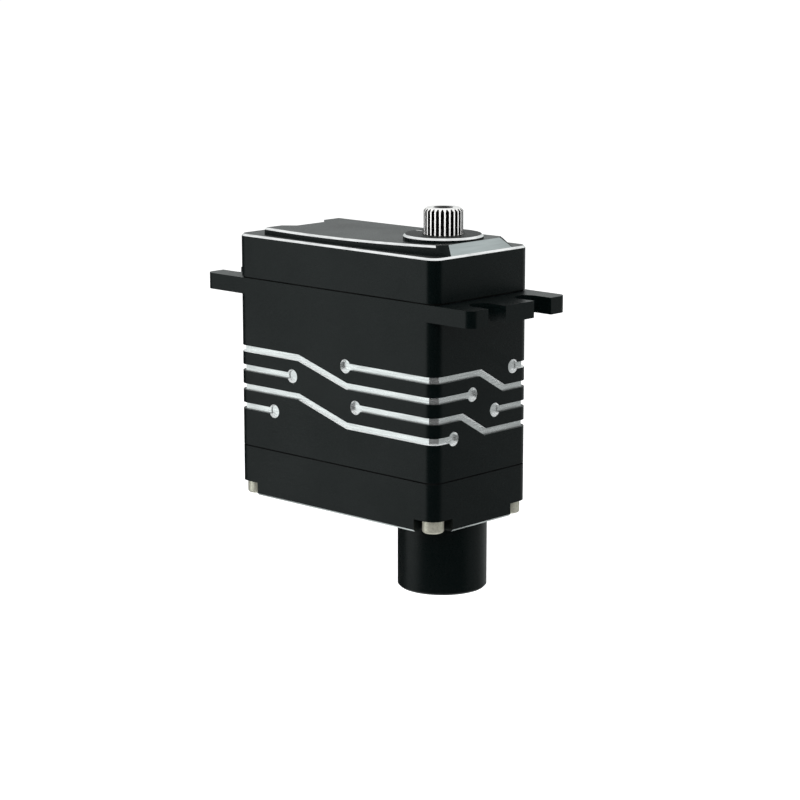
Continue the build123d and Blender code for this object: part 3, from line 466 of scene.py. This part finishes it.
def is_top_edge(face):
    """True for the bright edges of the top case."""
    return SLOPED[0] < face.normal.z < SLOPED[1]


def is_index_mark(face):
    """True for the engraved mark on the boss."""
    middle = face.calc_center_median()
    return MARK_LEVELS[0] < middle.z < MARK_LEVELS[1] and math.hypot(middle.x, middle.y) < MARK_REACH


def is_boss_top(face):
    """True for the turned top of the boss."""
    return face.normal.z > LEVEL_LIMIT and face.calc_center_median().z > -SKIN_DEPTH


def is_screw_hole(face):
    """True for the wall and the mouth of the shaft's screw hole."""
    middle = face.calc_center_median()
    in_hole = middle.z > 0 and math.hypot(middle.x, middle.y) < HOLE_MOUTH_RADIUS
    return in_hole and face.normal.z < SLOPED[1]


def tooth_radius(face):
    """How far out an upright face of the spline's teeth is, and None for any other face."""
    middle = face.calc_center_median()
    if abs(face.normal.z) < UPRIGHT_LIMIT and middle.z > TOOTH_FOOT_LEVEL:
        return math.hypot(middle.x, middle.y)
    return None


def is_tooth_gap(face):
    """True for the flanks and the floors between the spline's teeth, which get painted shade."""
    radius = tooth_radius(face)
    return radius is not None and radius < TOOTH_TIP_RADIUS


def is_tooth_tip(face):
    """True for the ground tips of the spline's teeth, which get a painted highlight."""
    radius = tooth_radius(face)
    return radius is not None and radius > TOOTH_TIP_RADIUS


def is_shaft_top(face):
    """True for the turned top of the spline and its chamfer, which get a painted highlight."""
    return face.calc_center_median().z > TOOTH_FOOT_LEVEL and face.normal.z > UPRIGHT_LIMIT


def is_track(face):
    """True for the floors and walls of the tracks and pads."""
    middle = face.calc_center_median()
    if not TRACK_ZONE_BOTTOM < middle.z < TRACK_ZONE_TOP:
        return False
    return SKIN_DEPTH < case_depth(middle) < TRACK_ZONE_DEPTH


def is_track_wall(face):
    """True for the upper and lower walls of the tracks, which the cutter's side left duller."""
    depths = [case_depth(vert.co) for vert in face.verts]
    return is_track(face) and abs(face.normal.z) > HALFWAY and max(depths) - min(depths) > WALL_HEIGHT


def is_joint(face):
    """True for the inside of the narrow grooves at the two parting lines."""
    levels = [vert.co.z for vert in face.verts]
    depths = [case_depth(vert.co) for vert in face.verts]
    for level in (MIDDLE_HIGH.z, MIDDLE_LOW.z):
        if all(abs(z - level) < JOINT_REACH for z in levels):
            return SKIN_DEPTH < max(depths) < JOINT_REACH
    return False


def is_bottom_edge(face):
    """True for the bright lower edges of the bottom cover."""
    return SLOPED[0] < -face.normal.z < SLOPED[1]


# Settings that a user would change
class ServoFinishSettings(bpy.types.PropertyGroup):
    """Colours and sheen of the servo's finishes."""

    case_colour: bpy.props.FloatVectorProperty(
        name="Case", description="Colour of the anodised case", subtype="COLOR", size=3, min=0, max=1,
        default=(0.0006, 0.002, 0.002),
    )
    case_sheen: bpy.props.FloatProperty(
        name="Case roughness", description="Roughness of the anodised case", subtype="FACTOR", min=0, max=1,
        default=0.27,
    )
    cut_colour: bpy.props.FloatVectorProperty(
        name="Cut aluminium", description="Colour of the bare chamfers and tracks", subtype="COLOR", size=3,
        min=0, max=1, default=(0.9, 0.92, 0.92),
    )
    ramp_colour: bpy.props.FloatVectorProperty(
        name="Ramp", description="Colour of the bare ramp at the output end", subtype="COLOR", size=3,
        min=0, max=1, default=(0.43, 0.485, 0.485),
    )
    steel_colour: bpy.props.FloatVectorProperty(
        name="Shaft steel", description="Colour of the ground output shaft", subtype="COLOR", size=3,
        min=0, max=1, default=(0.62, 0.61, 0.59),
    )
    screw_colour: bpy.props.FloatVectorProperty(
        name="Screw steel", description="Colour of the stainless cap screws", subtype="COLOR", size=3,
        min=0, max=1, default=(0.68, 0.665, 0.56),
    )
    brass_colour: bpy.props.FloatVectorProperty(
        name="Brass", description="Colour of the brass gears", subtype="COLOR", size=3, min=0, max=1,
        default=(0.72, 0.52, 0.24),
    )
    rubber_colour: bpy.props.FloatVectorProperty(
        name="Rubber", description="Colour of the seals", subtype="COLOR", size=3, min=0, max=1,
        default=(0.012, 0.012, 0.012),
    )
    board_colour: bpy.props.FloatVectorProperty(
        name="Board", description="Colour of the circuit boards' lacquer", subtype="COLOR", size=3,
        min=0, max=1, default=(0.015, 0.12, 0.05),
    )


class ServoSealSettings(bpy.types.PropertyGroup):
    """Sizes of the rubber seals."""

    lip_height: bpy.props.FloatProperty(
        name="Lip height", description="How far the shaft seal's lip rises inside its ring",
        unit="LENGTH", subtype="DISTANCE", default=0.45 * MM, min=0.1 * MM, max=0.8 * MM,
    )
    groove_depth: bpy.props.FloatProperty(
        name="Groove depth", description="Depth of the ring groove in the cable seal's face",
        unit="LENGTH", subtype="DISTANCE", default=0.3 * MM, min=0.05 * MM, max=0.6 * MM,
    )


class ServoMarkSettings(bpy.types.PropertyGroup):
    """The paint in the index mark."""

    gap: bpy.props.FloatProperty(
        name="Gap", description="Distance from the paint to the walls and the top of its groove",
        unit="LENGTH", subtype="DISTANCE", default=0.01 * MM, min=0.002 * MM, max=0.05 * MM,
    )
    edge_radius: bpy.props.FloatProperty(
        name="Edge radius", description="Rounding of the paint's edges", unit="LENGTH",
        subtype="DISTANCE", default=0.02 * MM, min=0.005 * MM, max=0.06 * MM,
    )


class ServoStageSettings(bpy.types.PropertyGroup):
    """The floor, the light and the camera."""

    floor_level: bpy.props.FloatProperty(
        name="Floor level", description="Height of the floor under the servo", unit="LENGTH",
        subtype="DISTANCE", default=-0.14,
    )
    floor_colour: bpy.props.FloatVectorProperty(
        name="Floor", description="Colour of the floor", subtype="COLOR", size=3, min=0, max=1,
        default=(0.86, 0.86, 0.86),
    )
    room_light: bpy.props.FloatProperty(
        name="Room light", description="Strength of the even light of the room", default=0.5, min=0, max=2,
    )
    focal_length: bpy.props.FloatProperty(
        name="Focal length", description="Focal length of the camera in millimetres", default=109.74,
        min=20, max=300,
    )
    camera_place: bpy.props.FloatVectorProperty(
        name="Camera place", description="Where the camera stands", subtype="XYZ", unit="LENGTH", size=3,
        default=(0.240188, -0.263179, 0.04757),
    )
    camera_turn: bpy.props.FloatVectorProperty(
        name="Camera turn", description="How the camera is turned", subtype="EULER", size=3,
        default=(math.radians(78.486), 0.0, math.radians(43.409)),
    )


class SERVO_OT_finishes(bpy.types.Operator):
    """Make the shared patterns and every finish"""

    bl_idname = "servo.finishes"
    bl_label = "Make the finishes"

    def execute(self, context):
        blasted_grain()
        cut_lines()
        handling()
        colours = context.scene.servo_finish
        case, rubber = tuple(colours.case_colour), tuple(colours.rubber_colour)
        turned_sheen = colours.case_sheen + TURNED_DULLNESS
        anodised_finish("Anodised black", case, colours.case_sheen, pit_depth=0.012 * MM, pits=8200.0)
        anodised_finish("Turned black", case, turned_sheen, pit_depth=0.002 * MM, pits=6000.0)
        # A copy of the case black that reflects less: painted shade on the two facets beside the ramp.
        moulded_finish("Shoulder painted shade", case, 0.5, {"Specular IOR Level": 0.07})
        moulded_finish("Joint shadow", (0.002, 0.002, 0.002), 0.8, {"Specular IOR Level": 0.05})
        moulded_finish("Black rubber", rubber, 0.62, {"Specular IOR Level": 0.35})
        moulded_finish("White paint", (0.8, 0.8, 0.78), 0.5, {"Specular IOR Level": 0.3})
        moulded_finish("Black plastic", (0.03, 0.03, 0.032), 0.42, {"IOR": 1.5})
        board_finish("Circuit board", tuple(colours.board_colour), (0.03, 0.2, 0.09))
        self.bare_aluminium(tuple(colours.cut_colour), tuple(colours.ramp_colour))
        self.steels(tuple(colours.steel_colour), tuple(colours.screw_colour))
        self.other_metals(tuple(colours.brass_colour))
        return {"FINISHED"}

    def bare_aluminium(self, cut, ramp):
        """The edges, the ramp and the tracks, where the cutter went through the anodising."""
        cut_metal_finish("Cut edge", cut, dulled(cut), EDGE_LINES, 0.34)
        cut_metal_finish(
            "Cut ramp", ramp, dulled(ramp, 0.96), RAMP_LINES, 0.4, lines=5000.0, depth=0.001 * MM
        )
        cut_metal_finish(
            "Cut track", cut, dulled(cut), SIDE_LINES, 0.25, lines=7000.0, depth=0.0015 * MM, metallic=0.9
        )
        cut_metal_finish(
            "Cut wall", cut, dulled(cut), SIDE_LINES, 0.5, lines=7000.0, depth=0.003 * MM, metallic=0.2
        )

    def steels(self, steel, screw):
        """The output shaft, the screws, the gears and the bearings."""
        # Near-white, mostly matt copy of the shaft steel: a painted highlight on the tips of the spline's
        # teeth.
        cut_metal_finish(
            "Tooth tip painted highlight", (0.96, 0.96, 0.95), (0.85, 0.85, 0.84), UPRIGHT_LINES, 0.3, metallic=0.1
        )
        # Light, mostly matt copy of the shaft steel: a painted highlight on the top of the spline.
        cut_metal_finish("Shaft top painted highlight", (0.74, 0.74, 0.73), (0.66, 0.66, 0.65), TOP_LINES, 0.34, metallic=0.3)
        # Near-black copy of the shaft steel: painted shade between the spline's teeth.
        cut_metal_finish("Tooth gap painted shade", (0.05, 0.05, 0.05), (0.03, 0.03, 0.03), UPRIGHT_LINES, 0.5)
        cut_metal_finish("Ground shaft", steel, dulled(steel, 0.6), UPRIGHT_LINES, 0.2)
        cut_metal_finish("Screw head", screw, dulled(screw, 0.8), SPECKLED, 0.36, lines=4000.0, metallic=0.75)
        cut_metal_finish("Cut steel", (0.56, 0.55, 0.53), (0.4, 0.4, 0.39), GEAR_LINES, 0.26)
        cut_metal_finish("Zinc plate", (0.6, 0.61, 0.63), (0.5, 0.5, 0.5), PLATED, 0.3, lines=3500.0)
        bearing, bearing_dull = (0.72, 0.72, 0.74), (0.6, 0.6, 0.61)
        cut_metal_finish(
            "Bearing steel", bearing, bearing_dull, RING_LINES, 0.14, lines=6000.0, depth=0.0008 * MM
        )

    def other_metals(self, brass):
        """The brass gears, the motor's can, the terminals and the capacitor."""
        cut_metal_finish("Cut brass", brass, dulled(brass, 0.75), GEAR_LINES, 0.24)
        cut_metal_finish("Nickel plate", (0.62, 0.6, 0.57), (0.52, 0.5, 0.47), RING_LINES, 0.28, lines=3000.0)
        cut_metal_finish("Tinned copper", (0.74, 0.5, 0.32), (0.66, 0.6, 0.52), SPECKLED, 0.3, lines=2500.0)
        cut_metal_finish("Capacitor can", (0.66, 0.67, 0.7), (0.55, 0.56, 0.6), RING_LINES, 0.3, lines=3200.0)


def finish_of(name):
    """A finish by its name."""
    return bpy.data.materials[name]


class SERVO_OT_case(bpy.types.Operator):
    """Dress the three case parts and the rear boss, with bare metal where the cutter went through"""

    bl_idname = "servo.case"
    bl_label = "Case"

    def execute(self, context):
        for node, name, marks in (
            (
                "top_case",
                "top_shell",
                [
                    (is_ramp, "Cut ramp"),
                    # the facets beside the ramp get painted shade
                    (is_ramp_facet, "Shoulder painted shade"),
                    (is_index_mark, "Cut edge"),
                    (is_top_edge, "Cut edge"),
                    (is_boss_top, "Turned black"),
                    (is_joint, "Joint shadow"),
                ],
            ),
            ("middle_case", "middle_shell", [(is_track_wall, "Cut wall"), (is_track, "Cut track")]),
            ("bottom_cover", "bottom_shell", [(is_bottom_edge, "Cut edge"), (is_joint, "Joint shadow")]),
            ("rear_boss", "rear_boss_tube", []),
        ):
            shape = merged_node(node)
            mark_faces(shape, [test for test, finish in marks])
            finishes = ["Anodised black", *(finish for test, finish in marks)]
            piece = to_object(shape, name, [finish_of(finish) for finish in finishes])
            stands_for(piece, node, "root")
        return {"FINISHED"}


class SERVO_OT_mark(bpy.types.Operator):
    """Fill the index mark on the boss with paint"""

    bl_idname = "servo.mark"
    bl_label = "Index mark"

    def execute(self, context):
        sizes = context.scene.servo_mark
        low = -MARK_DEPTH + sizes.gap
        high = -sizes.gap
        shape = bmesh.new()
        bmesh.ops.create_cube(shape, size=1.0)
        length, width = (size - 2 * sizes.gap for size in MARK_SIZE)
        bmesh.ops.scale(shape, verts=shape.verts, vec=(length, width, high - low))
        bmesh.ops.translate(shape, verts=shape.verts, vec=(MARK_MIDDLE_X, 0, (low + high) / 2))
        bmesh.ops.bevel(
            shape, geom=list(shape.edges), offset=sizes.edge_radius, segments=2, affect="EDGES", profile=0.5
        )
        piece = to_object(shape, "index_paint", [finish_of("White paint")])
        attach(piece, "root")
        return {"FINISHED"}


class SERVO_OT_screws(bpy.types.Operator):
    """Dress the four cap screws"""

    bl_idname = "servo.screws"
    bl_label = "Case screws"

    def execute(self, context):
        piece = to_object(merged_node("case_screws"), "cap_screws", [finish_of("Screw head")])
        stands_for(piece, "case_screws", "root")
        return {"FINISHED"}


class SERVO_OT_shaft(bpy.types.Operator):
    """Dress the splined output shaft"""

    bl_idname = "servo.shaft"
    bl_label = "Output shaft"

    def execute(self, context):
        shape = merged_node("output_shaft")
        mark_faces(shape, [is_screw_hole, is_tooth_gap, is_tooth_tip, is_shaft_top])
        # The gaps between the teeth get painted shade; the tips and the top get a painted highlight.
        names = ("Ground shaft", "Tooth gap painted shade", "Tooth gap painted shade", "Tooth tip painted highlight", "Shaft top painted highlight")
        finishes = [finish_of(name) for name in names]
        piece = to_object(shape, "splined_shaft", finishes, smooth_angle=20.0)
        stands_for(piece, "output_shaft", "output")
        return {"FINISHED"}


def lip_profile(sizes):
    """The shaft seal from the side: an outer ring with a rim, and a thin lip that rises to the shaft."""
    low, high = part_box("shaft_seal")
    outer = (high.x - low.x) / 2
    rim = outer - SEAL_RIM
    floor = high.z - sizes.lip_height
    return [
        (SEAL_BORE, low.z),
        (outer, low.z),
        (outer, high.z - SEAL_EDGE),
        (outer - SEAL_EDGE, high.z),
        (rim, high.z),
        (rim - SEAL_SLOPE, floor),
        (SEAL_BORE + LIP_FOOT, floor),
        (SEAL_BORE + LIP_HEAD, high.z - LIP_SLOPE),
        (SEAL_BORE, high.z - LIP_GAP),
    ]


def plug_profile(sizes):
    """The cable seal from the side, with a ring groove in its lower face."""
    low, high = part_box("cable_seal")
    outer = (high.x - low.x) / 2
    groove_top = low.z + sizes.groove_depth
    collar, rim = CABLE_HOLE + PLUG_COLLAR, outer - PLUG_RIM
    return [
        (CABLE_HOLE, low.z),
        (collar, low.z),
        (collar + GROOVE_SLOPE, groove_top),
        (rim - GROOVE_SLOPE, groove_top),
        (rim, low.z),
        (outer, low.z),
        (outer, high.z),
        (CABLE_HOLE, high.z),
    ]


class SERVO_OT_seals(bpy.types.Operator):
    """Make the shaft's lip seal and the grooved cable seal, and dress the gaskets"""

    bl_idname = "servo.seals"
    bl_label = "Seals"

    def execute(self, context):
        sizes = context.scene.servo_seals
        rubber = finish_of("Black rubber")
        stands_for(spun("shaft_lip_seal", lip_profile(sizes), [rubber]), "shaft_seal", "root")
        stands_for(spun("cable_plug", plug_profile(sizes), [rubber]), "cable_seal", "root")
        for node in ("top_gasket", "bottom_gasket", "rear_boss_seal"):
            dress(node, rubber)
        return {"FINISHED"}


class SERVO_OT_gears(bpy.types.Operator):
    """Dress the gear train, its axles and its bearings"""

    bl_idname = "servo.gears"
    bl_label = "Gear train and bearings"

    def execute(self, context):
        for node in ("output_gear", "third_gear", "second_gear"):
            dress(node, finish_of("Cut steel"))
        for node in ("first_gear", "motor_pinion"):
            dress(node, finish_of("Cut brass"))
        for node in ("gear_axles", "motor_shaft"):
            dress(node, finish_of("Ground shaft"))
        for level in ("upper", "lower"):
            for race in ("outer", "inner"):
                dress(f"{level}_bearing_{race}", finish_of("Bearing steel"))
        for node in ("shaft_clip", "rear_boss_nut", "motor_screws", "board_screws"):
            dress(node, finish_of("Zinc plate"))
        return {"FINISHED"}


class SERVO_OT_motor(bpy.types.Operator):
    """Dress the motor and the shaft sensor"""

    bl_idname = "servo.motor"
    bl_label = "Motor and sensor"

    def execute(self, context):
        for node in ("motor_can", "sensor_magnet"):
            dress(node, finish_of("Nickel plate"))
        for node in ("motor_cap", "sensor_chip"):
            dress(node, finish_of("Black plastic"))
        dress("motor_terminals", finish_of("Tinned copper"))
        dress("sensor_board", finish_of("Circuit board"))
        return {"FINISHED"}


class SERVO_OT_board(bpy.types.Operator):
    """Dress the controller board and what is on it"""

    bl_idname = "servo.board"
    bl_label = "Circuit board"

    def execute(self, context):
        dress("circuit_board", finish_of("Circuit board"))
        dress("board_components", finish_of("Black plastic"))
        dress("board_capacitor", finish_of("Capacitor can"))
        return {"FINISHED"}


def area_light(name, place, aim, size, power):
    """A soft rectangular lamp that points at a place, and that gloss doesn't see."""
    lamp = bpy.data.lights.new(name, "AREA")
    lamp.shape = "RECTANGLE"
    lamp.size, lamp.size_y = size
    lamp.energy = power
    light = bpy.data.objects.new(name, lamp)
    light.location = place
    light.visible_glossy = False
    towards = Vector(aim) - Vector(place)
    light.rotation_euler = towards.to_track_quat("-Z", "Y").to_euler()
    bpy.context.scene.collection.objects.link(light)


def seen_directly(tree):
    """A mask of rays that should find the plain white background."""
    path = tree.nodes.new("ShaderNodeLightPath")
    first = add_node(
        tree,
        "ShaderNodeMath",
        {0: path.outputs["Is Camera Ray"], 1: path.outputs["Is Glossy Ray"]},
        operation="MAXIMUM",
    )
    both = add_node(
        tree,
        "ShaderNodeMath",
        {0: first.outputs[0], 1: path.outputs["Is Transmission Ray"]},
        operation="MAXIMUM",
    )
    return both.outputs[0]


def studio_world(strength):
    """An even room that looks white where the camera or a gloss sees it."""
    world = bpy.data.worlds.new("Studio")
    world.use_nodes = True
    tree = world.node_tree
    background = tree.nodes["Background"]
    background.inputs["Color"].default_value = (1, 1, 1, 1)
    level = mapped(tree, seen_directly(tree), 0.0, 1.0, strength, 1.0)
    link(tree, level, background.inputs["Strength"])
    bpy.context.scene.world = world


def floor_finish(colour):
    """A pale floor that keeps the servo's shadow and runs to white in the distance."""
    matt = {"Roughness": 0.9, "Specular IOR Level": 0.0}
    tree, shader, place = new_material("Studio floor", matt)
    wear = use_group(tree, "Handling", Vector=place, Patches_per_metre=2.0)
    tone = colour_mix(tree, wear.outputs["Patches"], colour, dulled(colour, FLOOR_PATCHES))
    link(tree, tone, shader.inputs["Base Color"])
    shader.inputs["Emission Color"].default_value = (1, 1, 1, 1)
    lift = mapped(tree, seen_directly(tree), 0.0, 1.0, 0.0, FLOOR_LIFT)
    link(tree, lift, shader.inputs["Emission Strength"])
    return finish_of("Studio floor")


def card(name, azimuths, profile, glow):
    """A profile turned round the servo as a studio card, which gloss sees and the camera does not."""
    material = bpy.data.materials.new(name)
    material.use_nodes = True
    shader = material.node_tree.nodes["Principled BSDF"]
    shader.inputs["Base Color"].default_value = (0, 0, 0, 1)
    shader.inputs["Specular IOR Level"].default_value = 0.0
    shader.inputs["Emission Color"].default_value = CARD_TINT
    shader.inputs["Emission Strength"].default_value = glow
    first, last = azimuths
    shape = bmesh.new()
    line = [shape.verts.new((r * math.cos(first), r * math.sin(first), z)) for r, z in profile]
    shape.edges.new(line)
    bmesh.ops.spin(
        shape,
        geom=list(shape.verts) + list(shape.edges),
        cent=(0, 0, 0),
        axis=(0, 0, 1),
        dvec=(0, 0, 0),
        angle=last - first,
        steps=CARD_STEPS,
    )
    panel = to_object(shape, name, [material])
    panel.visible_camera = False
    panel.visible_diffuse = False
    panel.visible_shadow = False


class SERVO_OT_stage(bpy.types.Operator):
    """Make the floor, the cards, the lamps, the room and the camera"""

    bl_idname = "servo.stage"
    bl_label = "Stage"

    def execute(self, context):
        sizes = context.scene.servo_stage
        shape = bmesh.new()
        bmesh.ops.create_circle(shape, cap_ends=True, segments=96, radius=FLOOR_RADIUS)
        bmesh.ops.translate(shape, verts=shape.verts, vec=(0, 0, sizes.floor_level))
        floor = to_object(shape, "studio_floor", [floor_finish(tuple(sizes.floor_colour))])
        for lamp in LAMPS:
            area_light(*lamp)
        for name, azimuths, start, end, glow in CARDS:
            card(name, [math.radians(a) for a in azimuths], (start, end), glow)
        studio_world(sizes.room_light)
        camera = bpy.data.objects.new("Camera", bpy.data.cameras.new("Camera"))
        camera.data.lens = sizes.focal_length
        camera.location = sizes.camera_place
        camera.rotation_euler = sizes.camera_turn
        context.scene.collection.objects.link(camera)
        context.scene.camera = camera
        context.scene.view_settings.view_transform = "Standard"
        return {"FINISHED"}


SETTINGS = [
    ("servo_finish", ServoFinishSettings),
    ("servo_mark", ServoMarkSettings),
    ("servo_seals", ServoSealSettings),
    ("servo_stage", ServoStageSettings),
]

PIECES = [
    SERVO_OT_finishes,
    SERVO_OT_case,
    SERVO_OT_mark,
    SERVO_OT_screws,
    SERVO_OT_shaft,
    SERVO_OT_seals,
    SERVO_OT_gears,
    SERVO_OT_motor,
    SERVO_OT_board,
    SERVO_OT_stage,
]


class SERVO_PT_panel(bpy.types.Panel):
    """The servo's pieces and settings"""

    bl_idname = "SERVO_PT_panel"
    bl_label = "Waterproof servo"
    bl_space_type = "VIEW_3D"
    bl_region_type = "UI"
    bl_category = "Servo"

    def draw(self, context):
        layout = self.layout
        for piece in PIECES:
            layout.operator(piece.bl_idname)
        for label, group in SETTINGS:
            box = layout.box()
            for name in group.__annotations__:
                box.prop(getattr(context.scene, label), name)


def register():
    """Adds the settings, the operators and the panel."""
    for name, group in SETTINGS:
        bpy.utils.register_class(group)
        setattr(bpy.types.Scene, name, bpy.props.PointerProperty(type=group))
    for piece in PIECES:
        bpy.utils.register_class(piece)
    bpy.utils.register_class(SERVO_PT_panel)


def unregister():
    """Takes the panel, the operators and the settings away."""
    bpy.utils.unregister_class(SERVO_PT_panel)
    for piece in reversed(PIECES):
        bpy.utils.unregister_class(piece)
    for name, group in reversed(SETTINGS):
        delattr(bpy.types.Scene, name)
        bpy.utils.unregister_class(group)


def main():
    """Makes every piece in order."""
    register()
    for piece in PIECES:
        family, action = piece.bl_idname.split(".")
        getattr(getattr(bpy.ops, family), action)()


if __name__ == "__main__":
    main()
